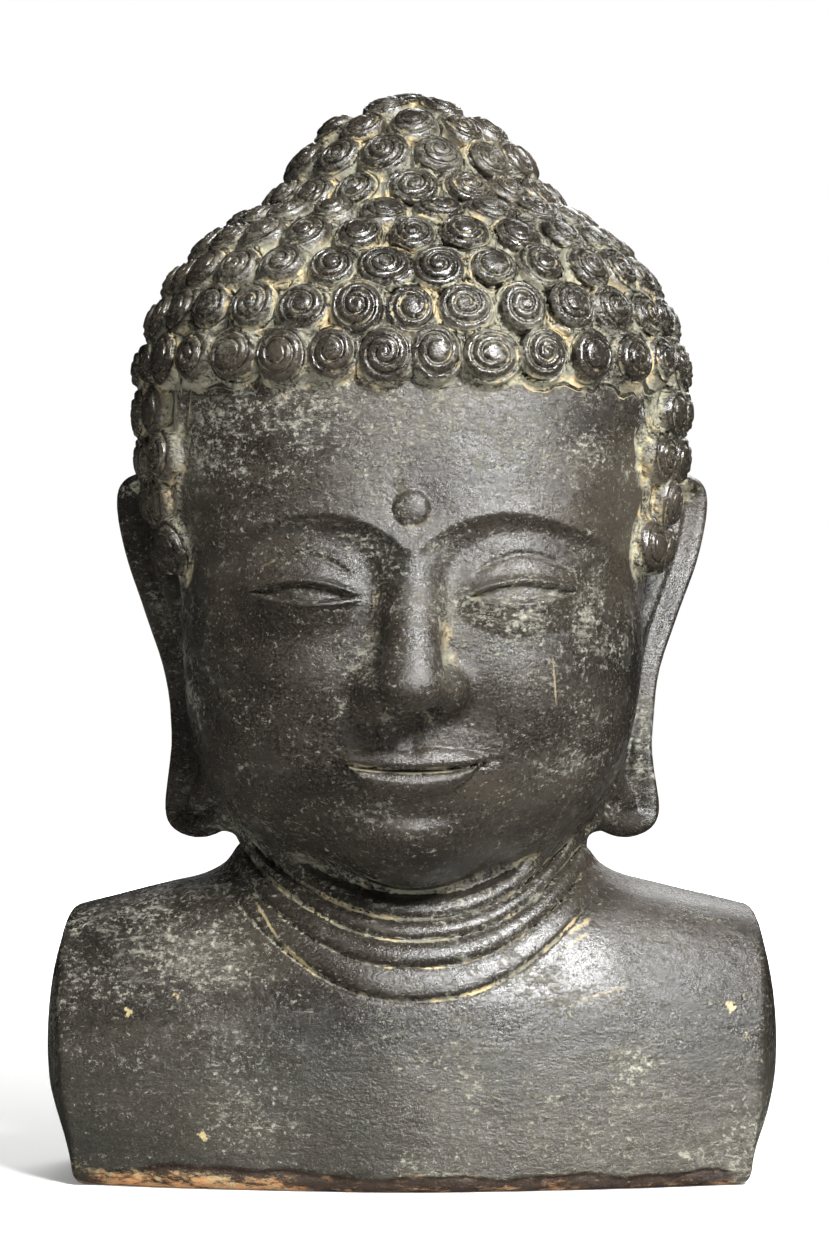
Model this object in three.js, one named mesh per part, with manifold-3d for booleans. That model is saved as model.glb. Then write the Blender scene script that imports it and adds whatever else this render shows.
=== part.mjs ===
// Stone Buddha head: one solid with snail-shell curls, a hair knot, long ears, a creased neck and a bust cut
// off at the arms. Millimetres, +Z up, the face looks along -Y, the origin is in the middle of the underside.
// The form is written as fields, negative inside the stone. Rings of rays then find the surface, and the
// rings are stitched into one closed skin. The ears are extruded plates, joined to it.
import * as THREE from "three";
import { mergeVertices } from "three/addons/utils/BufferGeometryUtils.js";
import Module from "manifold-3d";

// Bust
const BUST_HALF_WIDTH = 154;
const BUST_FRONT = 90;
const BUST_BACK = 84;
const BUST_TAPER = 30; // how much thinner the bust is at the arms than in the middle
const SHOULDER_TOP = 145.5;
const SHOULDER_DROP = 25.5;
const ARM_CUT_BULGE = 11.5;
const ARM_CUT_HALF_DEPTH = 62;
const BASE_TAPER = 4; // how far the arm cuts draw in towards the underside
const BASE_TAPER_HEIGHT = 45;
const BASE_CHAMFER = 7;

// Neck
const NECK_HALF_WIDTH = 76;
const NECK_FRONT = 58;
const NECK_BACK = 73;
const NECK_SPREAD = 0.35; // how fast the throat runs forward on its way down
const NECK_SPREAD_DEPTH = 60; // how far down it goes on doing so
const FOLD_LEVELS = [84, 98, 109.5, 118.5, 128.5]; // creases round the throat, measured at the front
const FOLD_RELIEFS = [2, 3.8, 3.4, 3.4]; // how far the roll between two creases stands out
const FOLD_RISE = 38; // how much higher a crease sits at the sides

// Head, stacked on the chin
const CHIN_LEVEL = 137;
const FACE_HEIGHT = 219;
const FACE_HALF_WIDTH = 104;
const FACE_DEPTH = 113;
const FACE_RISE = 121; // half the height of the face's plain mass
const FACE_MIDDLE = 115; // from the chin up to the middle of that mass
const SKULL_HALF_WIDTH = 118;
const SKULL_FRONT = 118;
const SKULL_BACK = 124;
const SKULL_RISE = 98;
const SKULL_SET_BACK = 8;
const KNOT_HALF_WIDTH = 62;
const KNOT_RISE = 60.5;
const HAIR_THICKNESS = 2;
const TEMPLE = 58; // degrees from the front where the side hair starts

// Curls
const CURL_PITCH = 23.5;
const ROW_PITCH = 20;
const CURL_HEIGHT = 7.5;

// Ears
const EAR_HEIGHT = 166;
const EAR_THICKNESS = 11;
const EAR_ROOT_X = 87;
const EAR_ROOT_Y = -1;
const EAR_SPLAY = 45; // degrees that an ear turns out from the side of the head
const EAR_RIM = 7;
const EAR_HOLLOW = 4;

// Levels that follow from the sizes above
const third = FACE_HEIGHT / 3; // hairline to brow, brow to nose base, nose base to chin
const hairline = CHIN_LEVEL + FACE_HEIGHT;
const browLevel = CHIN_LEVEL + 2 * third;
const noseBase = CHIN_LEVEL + third;
const mouthLevel = noseBase - third / 3;
const eyeLevel = browLevel - third / 4;
const skullLevel = hairline - 13;
const knotLevel = skullLevel + 77;
const eyeWidth = (2 * SKULL_HALF_WIDTH) / 5; // a head is five eyes wide
const eyeCentre = eyeWidth;
const mouthHalfWidth = (3 * eyeWidth) / 4;
const earBottom = CHIN_LEVEL + 13.5;
const earTop = earBottom + EAR_HEIGHT;

const radians = THREE.MathUtils.degToRad;
const degreesOf = THREE.MathUtils.radToDeg;
const turned = (degrees) => THREE.MathUtils.euclideanModulo(degrees + 180, 360) - 180; // from -180 to 180
const step = (x, low, high) => THREE.MathUtils.smoothstep(x, low, high);
const mix = THREE.MathUtils.lerp;
const bell = (x) => Math.exp(-x * x);
const dome = (squared, power = 1) => Math.max(0, 1 - squared) ** power;

function blendMin(a, b, width) {
  const h = Math.max(width - Math.abs(a - b), 0) / width;
  return Math.min(a, b) - (h * h * width) / 4;
}

const blendMax = (a, b, width) => -blendMin(-a, -b, width);

// Distance along the ray from an ovoid's own centre. Its front and back halves may differ.
function ovoid(x, y, z, { half, front, back = front, rise, power = 2 }) {
  const depth = y < 0 ? front : back;
  const parts = Math.abs(x / half) ** power + Math.abs(y / depth) ** power + Math.abs(z / rise) ** power;
  const gauge = parts ** (1 / power);
  return Math.hypot(x, y, z) * (1 - 1 / Math.max(gauge, 1e-6));
}

// A loaf whose height and depth shrink towards the arms, cut off at both arms by a shallow pillow face.
function bust(x, y, z) {
  const across = Math.min(Math.abs(x) / BUST_HALF_WIDTH, 1.2);
  const depth = (y < 0 ? BUST_FRONT : BUST_BACK) - BUST_TAPER * across ** 2;
  const height = SHOULDER_TOP - SHOULDER_DROP * across ** 1.6;
  const gauge = (Math.abs(y / depth) ** 2.8 + (Math.max(z, 0) / height) ** 2.8) ** (1 / 2.8);
  const loaf = Math.hypot(y, z) * (1 - 1 / Math.max(gauge, 1e-6));
  const middle = (SHOULDER_TOP - SHOULDER_DROP) / 2;
  const pillow = ARM_CUT_BULGE * dome((y / ARM_CUT_HALF_DEPTH) ** 2) * dome(((z - middle) / middle) ** 2);
  const drawnIn = BASE_TAPER * step(-z, -BASE_TAPER_HEIGHT, 0);
  const arm = Math.abs(x) - BUST_HALF_WIDTH - pillow + drawnIn;
  return blendMax(blendMax(loaf, arm, 3), -z, BASE_CHAMFER);
}

function neck(x, y, z) {
  const down = THREE.MathUtils.clamp(SHOULDER_TOP - z, 0, NECK_SPREAD_DEPTH);
  const front = NECK_FRONT + NECK_SPREAD * down;
  const half = NECK_HALF_WIDTH + 0.1 * down;
  const gauge = Math.hypot(x / half, y / (y < 0 ? front : NECK_BACK));
  const tube = Math.hypot(x, y) * (1 - 1 / Math.max(gauge, 1e-6));
  return blendMax(tube, z - skullLevel + SKULL_HALF_WIDTH / 2, 10);
}

// How much a crease is raised there above its level at the throat.
const foldRise = (x, y) => FOLD_RISE * (y < 0 ? Math.min(Math.abs(x) / NECK_HALF_WIDTH, 1) ** 2.2 : 1);

// Rounded rolls between sharp creases, strongest at the throat and gone where the shoulders leave the neck.
function foldRelief(x, y, z, fromNeck) {
  const level = z - foldRise(x, y);
  const fade = mix(1, 0.45, step(y, -30, 40)) * step(-fromNeck, -28, -12) * step(-Math.abs(x), -86, -71);
  let relief = 0;
  FOLD_RELIEFS.forEach((height, i) => {
    const t = (level - FOLD_LEVELS[i]) / (FOLD_LEVELS[i + 1] - FOLD_LEVELS[i]);
    relief = Math.max(relief, height * dome((2 * t - 1) ** 2, 0.5));
  });
  return relief * fade;
}

// Skull and knot under the hair, and the plain mass of the face, jaw and chin.
function headMass(x, y, z) {
  const back = y - SKULL_SET_BACK;
  const skull = ovoid(x, back, z - skullLevel, {
    half: SKULL_HALF_WIDTH, front: SKULL_FRONT, back: SKULL_BACK, rise: SKULL_RISE, power: 2.35,
  });
  const knot = ovoid(x, back, z - knotLevel, {
    half: KNOT_HALF_WIDTH, front: KNOT_HALF_WIDTH, rise: KNOT_RISE, power: 1.75,
  });
  const face = ovoid(x, y + 6, z - CHIN_LEVEL - FACE_MIDDLE, {
    half: FACE_HALF_WIDTH, front: FACE_DEPTH, rise: FACE_RISE, power: 2.6,
  });
  const muzzle = ovoid(x, y + 94, z - mouthLevel, { half: 38, front: 22, rise: 27 });
  const chin = ovoid(x, y + 76, z - CHIN_LEVEL - 21, { half: 27, front: 26, rise: 24 });
  const front = blendMin(blendMin(face, muzzle, 18), chin, 22);
  return blendMin(blendMin(skull, knot, 10), front, 26);
}

// Height of a brow's crest above the brow level, from the nose outwards.
const browRise = (side) => 16 * Math.sin(Math.PI * THREE.MathUtils.clamp((side - 3) / 92, 0, 1) ** 0.8) - 3;

function browRelief(side, z) {
  const above = z - browLevel - browRise(side);
  const crest = above > 0 ? Math.exp(-above / 13) : bell(above / 3.2);
  return 3.8 * crest * step(-side, -96, -74);
}

// The socket, the eyeball, and half-closed lids with a crease above them.
function eyeRelief(side, z) {
  const along = (side - eyeCentre) / eyeWidth + 0.5;
  const arch = Math.sin(Math.PI * THREE.MathUtils.clamp(along, 0, 1));
  const upper = eyeLevel - 5 + 4.6 * arch + 2.5 * along;
  const lower = eyeLevel - 5 - 3.4 * arch + 2.5 * along;
  const within = step(along, -0.1, 0.04) * step(-along, -1.1, -0.96);
  const socket = -8 * bell((side - eyeCentre + 4) / 30) * bell((z - eyeLevel - 7) / 15);
  const wide = ((side - eyeCentre) / (0.66 * eyeWidth)) ** 2 + ((z - eyeLevel) / (0.43 * eyeWidth)) ** 2;
  const ball = 11 * dome(wide, 1.15);
  const opening = -2.4 * step(upper - z, -0.4, 0.8) * step(z - lower, -0.4, 0.8);
  const upperLid = 1.7 * bell((z - upper - 1.7) / 1.7);
  const lowerLid = 1.1 * bell((z - lower + 1.5) / 1.4);
  const crease = -1.6 * bell((z - upper - 8 - 4.5 * arch) / 1.3) * step(arch, 0, 0.5);
  return socket + ball + within * (opening + upperLid + lowerLid + crease);
}

// A bridge that widens from its root between the brows to a round tip, with two wings.
const noseBridge = new THREE.Line3(
  new THREE.Vector3(0, -FACE_DEPTH, browLevel - 4),
  new THREE.Vector3(0, -FACE_DEPTH - 24, noseBase + 12),
);

function nose(x, y, z) {
  const spot = new THREE.Vector3(x, y, z);
  const t = noseBridge.closestPointToPointParameter(spot, true);
  const nearest = noseBridge.at(t, new THREE.Vector3());
  const bridge = Math.hypot(0.84 * x, y - nearest.y, z - nearest.z) - mix(7, 11.5, t);
  const wing = ovoid(Math.abs(x) - 14.5, y + FACE_DEPTH + 6, z - noseBase - 9, {
    half: 9.5, front: 14, rise: 9.5,
  });
  return [bridge, wing];
}

function mouthRelief(side, z) {
  const along = side / mouthHalfWidth;
  const line = mouthLevel + 3.5 * along ** 2;
  const upperEdge = line + 10 * dome(along ** 2, 0.7) - 2.2 * bell(side / 5);
  const lowerEdge = line - 13.5 * dome((along / 0.8) ** 2, 0.6);
  const above = (z - line) / Math.max(upperEdge - line, 1);
  const below = (line - z) / Math.max(line - lowerEdge, 1);
  const ends = step(-along, -1.02, -0.75);
  const upperLip = above > 0 ? 5 * dome(above ** 2, 0.5) : 0;
  const lowerLip = below > 0 ? 6.5 * Math.sin(Math.PI * Math.min(below, 1)) ** 0.7 : 0;
  const parting = -2.6 * bell((z - line) / 1.8) * step(-along, -1.1, -0.95);
  const hollow = -3.5 * bell(side / 22) * bell((z - mouthLevel + 20) / 6);
  const groove = step(z, upperEdge, upperEdge + 3) * step(-z, -noseBase - 1, -noseBase + 3);
  return ends * (upperLip + lowerLip) + parting + hollow - 1.6 * bell(side / 4) * groove;
}

const onFace = (y, z) => y < -20 && z < hairline && z > CHIN_LEVEL - 20;

// Everything carved on the front of the face but the nose, as a height over the plain mass.
function faceRelief(x, y, z) {
  const side = Math.abs(x);
  const cheek = 4 * bell((side - 52) / 25) * bell((z - noseBase - 12) / 26);
  const chin = 3 * bell(side / 17) * bell((z - CHIN_LEVEL - 20) / 13);
  const mark = 4.5 * dome((side ** 2 + (z - browLevel - 15) ** 2) / 8 ** 2, 0.5);
  const carved = browRelief(side, z) + eyeRelief(side, z) + mouthRelief(side, z);
  return (carved + cheek + chin + mark) * step(-y, 20, 50);
}

// Lowest level of the hair in a direction, in degrees from the front.
function hairLevel(degrees) {
  const away = Math.abs(degrees);
  const temple = hairline - 82 * step(away, 52, 60);
  return mix(temple, hairline - 144, step(away, 98, 112));
}

function hairRelief(x, y, z) {
  const degrees = degreesOf(Math.atan2(x, SKULL_SET_BACK - y));
  return HAIR_THICKNESS * step(z - hairLevel(degrees), -2, 2);
}

// The whole stone but its ears and curls.
function stone(x, y, z) {
  let faced = headMass(x, y, z);
  if (onFace(y, z)) {
    const [bridge, wing] = nose(x, y, z);
    faced = blendMin(blendMin(faced - faceRelief(x, y, z), bridge, 13), wing, 4);
  }
  const throat = neck(x, y, z);
  const shoulders = blendMin(bust(x, y, z), throat, 24) - foldRelief(x, y, z, throat);
  return blendMin(shoulders, faced - hairRelief(x, y, z), 8);
}

// Walks in along a path of points until the stone is met, and returns that radius.
function meet(path) {
  let out = 240;
  while (out > 1 && stone(...path(out - 4)) > 0) out -= 4;
  let inside = out - 4;
  for (let i = 0; i < 18; i++) {
    const middle = (inside + out) / 2;
    if (stone(...path(middle)) > 0) out = middle;
    else inside = middle;
  }
  return (inside + out) / 2;
}

// A ring that runs level, but dips at the throat as the creases do. At the face it has a level of its own.
function levelPath(degrees, ring) {
  const angle = radians(degrees);
  const level = mix(ring.faceLevel, ring.level, step(Math.abs(degrees), 38, 56));
  const centre = SKULL_SET_BACK * step(ring.level, SHOULDER_TOP - 30, SHOULDER_TOP + 30);
  return (r) => {
    const [x, y] = [r * Math.sin(angle), centre - r * Math.cos(angle)];
    return [x, y, level + ring.dip * foldRise(x, y)];
  };
}

// A ring on the dome of the skull, where all rays leave one point and climb at one angle.
function domePath(degrees, ring) {
  const angle = radians(degrees);
  const climb = radians(ring.climb);
  return (r) => [
    r * Math.sin(angle) * Math.cos(climb),
    SKULL_SET_BACK - r * Math.cos(angle) * Math.cos(climb),
    skullLevel + r * Math.sin(climb),
  ];
}

function surfacePoint(degrees, ring, lift = 0) {
  const path = ring.climb === undefined ? levelPath(degrees, ring) : domePath(degrees, ring);
  return new THREE.Vector3(...path(meet(path) + lift));
}

const levelRing = (level, faceLevel = level, dip = 0) => ({ level, faceLevel, dip });
const domeRing = (climb) => ({ climb });

// Climb angles of the curl rows, a row pitch apart along the side of the dome, up to the crown.
function domeRows() {
  const rows = [];
  const fine = 0.5;
  let travelled = 0;
  let last = surfacePoint(90, domeRing(0));
  for (let climb = fine; climb < 90; climb += fine) {
    const next = surfacePoint(90, domeRing(climb));
    travelled += next.distanceTo(last);
    last = next;
    if (travelled >= (rows.length + 1) * ROW_PITCH) rows.push(climb);
  }
  const spare = travelled - rows.length * ROW_PITCH;
  return spare < 0.6 * ROW_PITCH ? rows.slice(0, -1) : rows;
}

// Number of curls that fit round a ring.
function curlCount(ring) {
  let length = 0;
  for (let degrees = 0; degrees < 360; degrees += 10) {
    length += surfacePoint(degrees, ring).distanceTo(surfacePoint(degrees + 10, ring));
  }
  return Math.round(length / CURL_PITCH);
}

function isCurl(degrees, ring) {
  if (ring.climb !== undefined) return true;
  const away = Math.abs(turned(degrees));
  const byEar = away > 84 && away < 112 && ring.level < earTop + 2;
  return !byEar && ring.level - ROW_PITCH / 2 > hairLevel(away) - 6 && away > TEMPLE;
}

function evenly(from, to, count) {
  return Array.from({ length: count }, (_, i) => mix(from, to, i / (count - 1)));
}

// Columns over the face, closer together at the middle.
const faceColumns = evenly(-1, 1, 31).map((t) => (TEMPLE - 4) * (0.62 * t + 0.38 * t ** 3));

// Rings cross each row of curls three times. The numbers are shares of the row pitch.
const OFFSETS = [-0.5, -0.18, 0.18];

// The points that a ring has at one curl, as [aside, lift]: shares of the curl's width and height.
const VALLEY = [[0, 0]];
const ACROSS = [[-0.5, 0], [-0.2, 1], [0.2, 1]];

// One ring over a row of curls, with the face's columns in front where the row stops at the temples.
function hairRing(ring, row, offset) {
  const spots = ring.climb === undefined ? faceColumns.map((degrees) => ({ degrees, lift: 0 })) : [];
  const width = 360 / row.count;
  const crossing = offset === OFFSETS[0] ? VALLEY : ACROSS;
  for (let i = 0; i < row.count; i++) {
    const centre = (i + row.shift) * width;
    if (ring.climb === undefined && Math.abs(turned(centre)) < TEMPLE) continue;
    const shown = isCurl(centre, row.ring) ? crossing : VALLEY;
    for (const [aside, lift] of shown) {
      spots.push({ degrees: centre + aside * width, lift: lift * CURL_HEIGHT });
    }
  }
  return skinRing(ring, spots);
}

// The points of one ring, sorted by direction.
function skinRing(ring, spots) {
  return spots
    .map(({ degrees, lift }) => ({ degrees: THREE.MathUtils.euclideanModulo(degrees, 360), lift }))
    .sort((a, b) => a.degrees - b.degrees)
    .map(({ degrees, lift }) => ({ degrees, point: surfacePoint(turned(degrees), ring, lift) }));
}

const plainRing = (ring, columns) => skinRing(ring, columns.map((degrees) => ({ degrees, lift: 0 })));

const bothSides = (columns) => [0, 180, ...columns, ...columns.map((degrees) => -degrees)];
const neckColumns = bothSides([...evenly(8, 70, 9), ...evenly(80, 168, 8)]);
const jawColumns = [...faceColumns, ...evenly(TEMPLE + 6, 354 - TEMPLE, 13)];

// Columns round the bust, with a pair at each corner of an arm cut. The corners draw together higher up.
function bustColumns(level) {
  const share = dome((level / (SHOULDER_TOP - SHOULDER_DROP)) ** 2.8, 1 / 2.8);
  const front = degreesOf(Math.atan2(BUST_HALF_WIDTH, (BUST_FRONT - BUST_TAPER) * share));
  const back = 180 - degreesOf(Math.atan2(BUST_HALF_WIDTH, (BUST_BACK - BUST_TAPER) * share));
  const corners = [front - 1.5, front + 1.5, back - 1.5, back + 1.5];
  const between = [0.25, 0.5, 0.75].map((t) => mix(front, back, t));
  return bothSides([...evenly(8.5, front - 9, 7), ...corners, ...between, ...evenly(back + 11, 168, 5)]);
}

function bustRings() {
  const level = [0, 3, 8, 32, 56].map((height) => levelRing(height));
  const dipping = [0.5, 0.8, 1].map((dip, i) => {
    const start = FOLD_LEVELS[0] - 21 + 8 * i;
    return levelRing(start, start, dip);
  });
  const rings = [...level, ...dipping];
  return rings.map((ring) => plainRing(ring, bustColumns(ring.level + ring.dip * FOLD_RISE)));
}

// Two rings for each crease and one on each roll.
function neckRings() {
  const levels = [];
  FOLD_LEVELS.slice(1).forEach((top, i) => {
    const bottom = FOLD_LEVELS[i];
    levels.push(bottom, mix(bottom, top, 0.2), mix(bottom, top, 0.7));
  });
  levels.push(FOLD_LEVELS.at(-1));
  return levels.map((level) => {
    const onShoulders = level + FOLD_RISE > SHOULDER_TOP - SHOULDER_DROP - 4;
    return plainRing(levelRing(level, level, 1), onShoulders ? neckColumns : bustColumns(level + FOLD_RISE));
  });
}

function jawRings() {
  const chin = [-5, -1, 4, 11, 20, 27].map((rise) => CHIN_LEVEL + rise);
  const mouth = [-16, -12, -7.5, -3, 0, 3, 6, 10].map((rise) => mouthLevel + rise);
  const levels = [...chin, ...mouth, noseBase - 8];
  return levels.map((level, i) => {
    const dip = 1 - (i + 1) / levels.length;
    return plainRing(levelRing(level, level, dip), jawColumns);
  });
}

// Levels on the face, paired one to one with the rings that cross the curls beside it.
function faceLevels(count) {
  const keys = [[0, noseBase - 2], [1, noseBase + 1.5], [2, noseBase + 5], [3, noseBase + 13],
    [5, eyeLevel - 14], [12, eyeLevel + 8], [17, browLevel + 16], [count - 1, hairline - 9]];
  return Array.from({ length: count }, (_, i) => {
    const k = Math.max(1, keys.findIndex(([index]) => index >= i));
    const [[i0, z0], [i1, z1]] = [keys[k - 1], keys[k]];
    return mix(z0, z1, (i - i0) / (i1 - i0));
  });
}

function hairRings() {
  const rings = [];
  const levelRows = Array.from({ length: 7 }, (_, i) => skullLevel - (6 - i) * ROW_PITCH);
  const levels = faceLevels(levelRows.length * OFFSETS.length);
  const sideCount = curlCount(domeRing(0));
  levelRows.forEach((level, i) => {
    const row = { ring: levelRing(level), count: sideCount, shift: (i % 2) / 2 };
    OFFSETS.forEach((offset, j) => {
      const ring = levelRing(level + offset * ROW_PITCH, levels[i * OFFSETS.length + j]);
      rings.push(hairRing(ring, row, offset));
    });
  });
  const climbs = domeRows();
  climbs.forEach((climb, i) => {
    const row = { ring: domeRing(climb), count: curlCount(domeRing(climb)), shift: ((i + 1) % 2) / 2 };
    const gap = i ? climb - climbs[i - 1] : climb;
    OFFSETS.forEach((offset) => rings.push(hairRing(domeRing(climb + offset * gap), row, offset)));
  });
  return rings;
}

// Triangles between two closed rings. Rings of as many points are joined point by point, which keeps a corner
// whole. Otherwise the next point in direction is taken each time, from either ring.
function stitch(lower, upper, faces) {
  let [i, j] = [0, 0];
  const paired = lower.length === upper.length;
  const next = (ring, k) => {
    if (paired) return k;
    return k < ring.length ? ring[k].degrees : ring[0].degrees + 360;
  };
  while (i < lower.length || j < upper.length) {
    const a = lower[i % lower.length].index;
    const b = upper[j % upper.length].index;
    if (j >= upper.length || (i < lower.length && next(lower, i + 1) <= next(upper, j + 1))) {
      i += 1;
      faces.push(a, lower[i % lower.length].index, b);
    } else {
      j += 1;
      faces.push(a, upper[j % upper.length].index, b);
    }
  }
}

function fan(ring, tip, faces, up) {
  ring.forEach(({ index }, i) => {
    const next = ring[(i + 1) % ring.length].index;
    faces.push(...(up ? [index, next, tip] : [next, index, tip]));
  });
}

function skin(rings) {
  const points = [];
  const faces = [];
  for (const ring of rings) {
    for (const spot of ring) {
      spot.index = points.length;
      points.push(spot.point);
    }
  }
  for (let i = 0; i + 1 < rings.length; i++) stitch(rings[i], rings[i + 1], faces);
  const crown = surfacePoint(0, domeRing(90), CURL_HEIGHT);
  points.push(new THREE.Vector3(0, 0, 0), crown);
  fan(rings[0], points.length - 2, faces, false);
  fan(rings.at(-1), points.length - 1, faces, true);
  return new THREE.BufferGeometry().setFromPoints(points).setIndex(faces);
}

// Outline of an ear seen square on: across from its root, and up from its lobe as a share of its height.
const EAR_OUTLINE = [[0, 0.02], [14, 0], [28, 0.02], [33, 0.08], [30, 0.19], [28.5, 0.28], [32, 0.43],
  [45, 0.6], [59, 0.76], [66, 0.9], [64, 0.98], [52, 1.01], [26, 1], [0, 0.97]];

function earPlate() {
  const spots = EAR_OUTLINE.map(([across, up]) => new THREE.Vector2(across, up * EAR_HEIGHT));
  const outline = new THREE.Shape([new THREE.Vector2(-14, 0.97 * EAR_HEIGHT), new THREE.Vector2(-14, 4),
    ...new THREE.SplineCurve(spots).getPoints(22)]);
  const bevel = 3;
  const plate = new THREE.ExtrudeGeometry(outline, {
    depth: EAR_THICKNESS - 2 * bevel, bevelEnabled: true, bevelSize: bevel, bevelThickness: bevel,
    bevelOffset: -bevel, bevelSegments: 1,
  });
  return plate.translate(0, 0, bevel - EAR_THICKNESS / 2);
}

// The hollow inside an ear's rim, wide at the shell and running down into the lobe.
function earHollow() {
  const spots = EAR_OUTLINE.slice(2, -2).map(([across, up]) => {
    const inset = up < 0.1 ? 0.1 : Math.min(up, 0.97 - EAR_RIM / EAR_HEIGHT);
    return new THREE.Vector2(across - 1.3 * EAR_RIM, inset * EAR_HEIGHT);
  });
  const root = [0.9, 0.14].map((up) => new THREE.Vector2(6, up * EAR_HEIGHT));
  const outline = new THREE.Shape([...root, ...new THREE.SplineCurve(spots).getPoints(12)]);
  const cutter = new THREE.ExtrudeGeometry(outline, { depth: EAR_THICKNESS, bevelEnabled: false });
  return cutter.translate(0, 0, EAR_THICKNESS / 2 - EAR_HOLLOW);
}

// Puts an ear's geometry on the head. side is 1 for +X and -1 for -X.
function placeEar(geometry, side) {
  const across = new THREE.Vector3(Math.cos(radians(EAR_SPLAY)) * side, Math.sin(radians(EAR_SPLAY)), 0);
  const up = new THREE.Vector3(0, 0, 1);
  const outward = new THREE.Vector3().crossVectors(across, up).multiplyScalar(side);
  const place = new THREE.Matrix4().makeBasis(across, up, outward);
  place.setPosition(side * EAR_ROOT_X, EAR_ROOT_Y, earBottom);
  const placed = geometry.clone().applyMatrix4(place);
  return place.determinant() < 0 ? turnedRound(placed) : placed;
}

// A mirrored mesh has its faces inside out, so each triangle is turned round.
function turnedRound(geometry) {
  const flat = geometry.index ? geometry.toNonIndexed() : geometry;
  const position = flat.getAttribute("position");
  for (let i = 0; i < position.count; i += 3) {
    const [a, b] = [i + 1, i + 2].map((k) => new THREE.Vector3().fromBufferAttribute(position, k));
    position.setXYZ(i + 1, b.x, b.y, b.z);
    position.setXYZ(i + 2, a.x, a.y, a.z);
  }
  return flat;
}

const wasm = await Module();
wasm.setup();

function solid(geometry) {
  const bare = new THREE.BufferGeometry().setAttribute("position", geometry.getAttribute("position"));
  if (geometry.index) bare.setIndex(geometry.index);
  const merged = mergeVertices(bare, 1e-3);
  return new wasm.Manifold(new wasm.Mesh({
    numProp: 3,
    vertProperties: merged.getAttribute("position").array,
    triVerts: new Uint32Array(merged.index.array),
  }));
}

function geometryOf(manifold) {
  const { vertProperties, triVerts } = manifold.getMesh();
  const geometry = new THREE.BufferGeometry();
  geometry.setAttribute("position", new THREE.BufferAttribute(vertProperties, 3));
  geometry.setIndex(new THREE.BufferAttribute(triVerts, 1));
  geometry.computeVertexNormals();
  return geometry;
}

function head() {
  let carved = solid(skin([...bustRings(), ...neckRings(), ...jawRings(), ...hairRings()]));
  for (const side of [1, -1]) {
    const ear = solid(placeEar(earPlate(), side)).subtract(solid(placeEar(earHollow(), side)));
    carved = carved.add(ear);
  }
  return geometryOf(carved);
}

const darkStone = new THREE.MeshStandardMaterial({ color: 0x3d3833, roughness: 0.5, metalness: 0 });
const buddhaHead = new THREE.Mesh(head(), darkStone);
buddhaHead.name = "buddha_head";

const group = new THREE.Group();
group.add(buddhaHead);

export default group;
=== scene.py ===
"""Looks of the stone Buddha head around its CAD frame.

The carving is one field, negative inside the stone. It is sampled on a fine grid, turned into one
closed mesh, thinned, and set back onto the field. Lengths are in millimetres until the mesh is made,
and in metres in the material, the stage and the lights.
"""
import math
from types import SimpleNamespace

import bpy
import numpy as np
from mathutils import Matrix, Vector


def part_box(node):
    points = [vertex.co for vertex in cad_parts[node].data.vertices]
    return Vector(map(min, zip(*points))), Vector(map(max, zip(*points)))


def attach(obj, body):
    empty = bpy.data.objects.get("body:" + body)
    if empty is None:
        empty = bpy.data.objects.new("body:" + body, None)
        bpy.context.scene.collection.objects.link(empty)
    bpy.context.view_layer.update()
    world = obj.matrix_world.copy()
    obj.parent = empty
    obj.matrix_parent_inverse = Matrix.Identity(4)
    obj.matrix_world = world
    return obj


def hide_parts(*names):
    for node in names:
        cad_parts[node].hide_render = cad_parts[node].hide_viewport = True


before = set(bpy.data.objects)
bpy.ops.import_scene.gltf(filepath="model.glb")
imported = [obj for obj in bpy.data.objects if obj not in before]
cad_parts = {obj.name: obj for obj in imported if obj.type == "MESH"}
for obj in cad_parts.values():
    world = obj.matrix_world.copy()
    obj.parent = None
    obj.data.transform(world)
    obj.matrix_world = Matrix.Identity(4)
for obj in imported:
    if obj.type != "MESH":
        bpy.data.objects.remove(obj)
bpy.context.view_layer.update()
node_low, node_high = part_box("buddha_head")

# Bust
TOTAL_HEIGHT = 490
BUST_HALF_WIDTH = 154
BUST_FRONT = 90
BUST_BACK = 84
BUST_TAPER = 30
SHOULDER_TOP = 145.5
SHOULDER_DROP = 25.5
LOAF_POWER = 2.8
ARM_CUT_BULGE = 11.5
ARM_CUT_HALF_DEPTH = 62
BASE_TAPER = 4
BASE_TAPER_HEIGHT = 45
BASE_CHAMFER = 7
EDGE_WEAR = 1.9

# Neck
NECK_HALF_WIDTH = 76
NECK_FRONT = 58
NECK_BACK = 73
NECK_SPREAD = 0.35
NECK_SPREAD_DEPTH = 60
NECK_BLEND = 24
FOLD_LEVELS = [84, 98, 109.5, 118.5, 128.5]
FOLD_RELIEFS = [1.8, 4.2, 3.8, 3.8]
FOLD_RISE = 38
LOWEST_CREASE = 1.8

# Head
CHIN_LEVEL = 137
FACE_HEIGHT = 219
FACE_HALF_WIDTH = 104
FACE_DEPTH = 113
FACE_RISE = 121
FACE_MIDDLE = 115
SKULL_HALF_WIDTH = 118
SKULL_FRONT = 118
SKULL_BACK = 124
SKULL_RISE = 98
SKULL_SET_BACK = 8
KNOT_HALF_WIDTH = 62
KNOT_RISE = 60.5
HAIR_THICKNESS = 2
SKULL_POWER = 2.35
KNOT_POWER = 1.75
FACE_POWER = 2.6

# Curls
CURL_PITCH = 23.5
ROW_PITCH = 20
CURL_RADIUS = 12.9
CURL_HEIGHT = 8.6
CURL_GROOVE = 1.5
SIDE_ROWS = 7
SIDE_START = 58
EAR_GAP = (84, 112)

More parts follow.
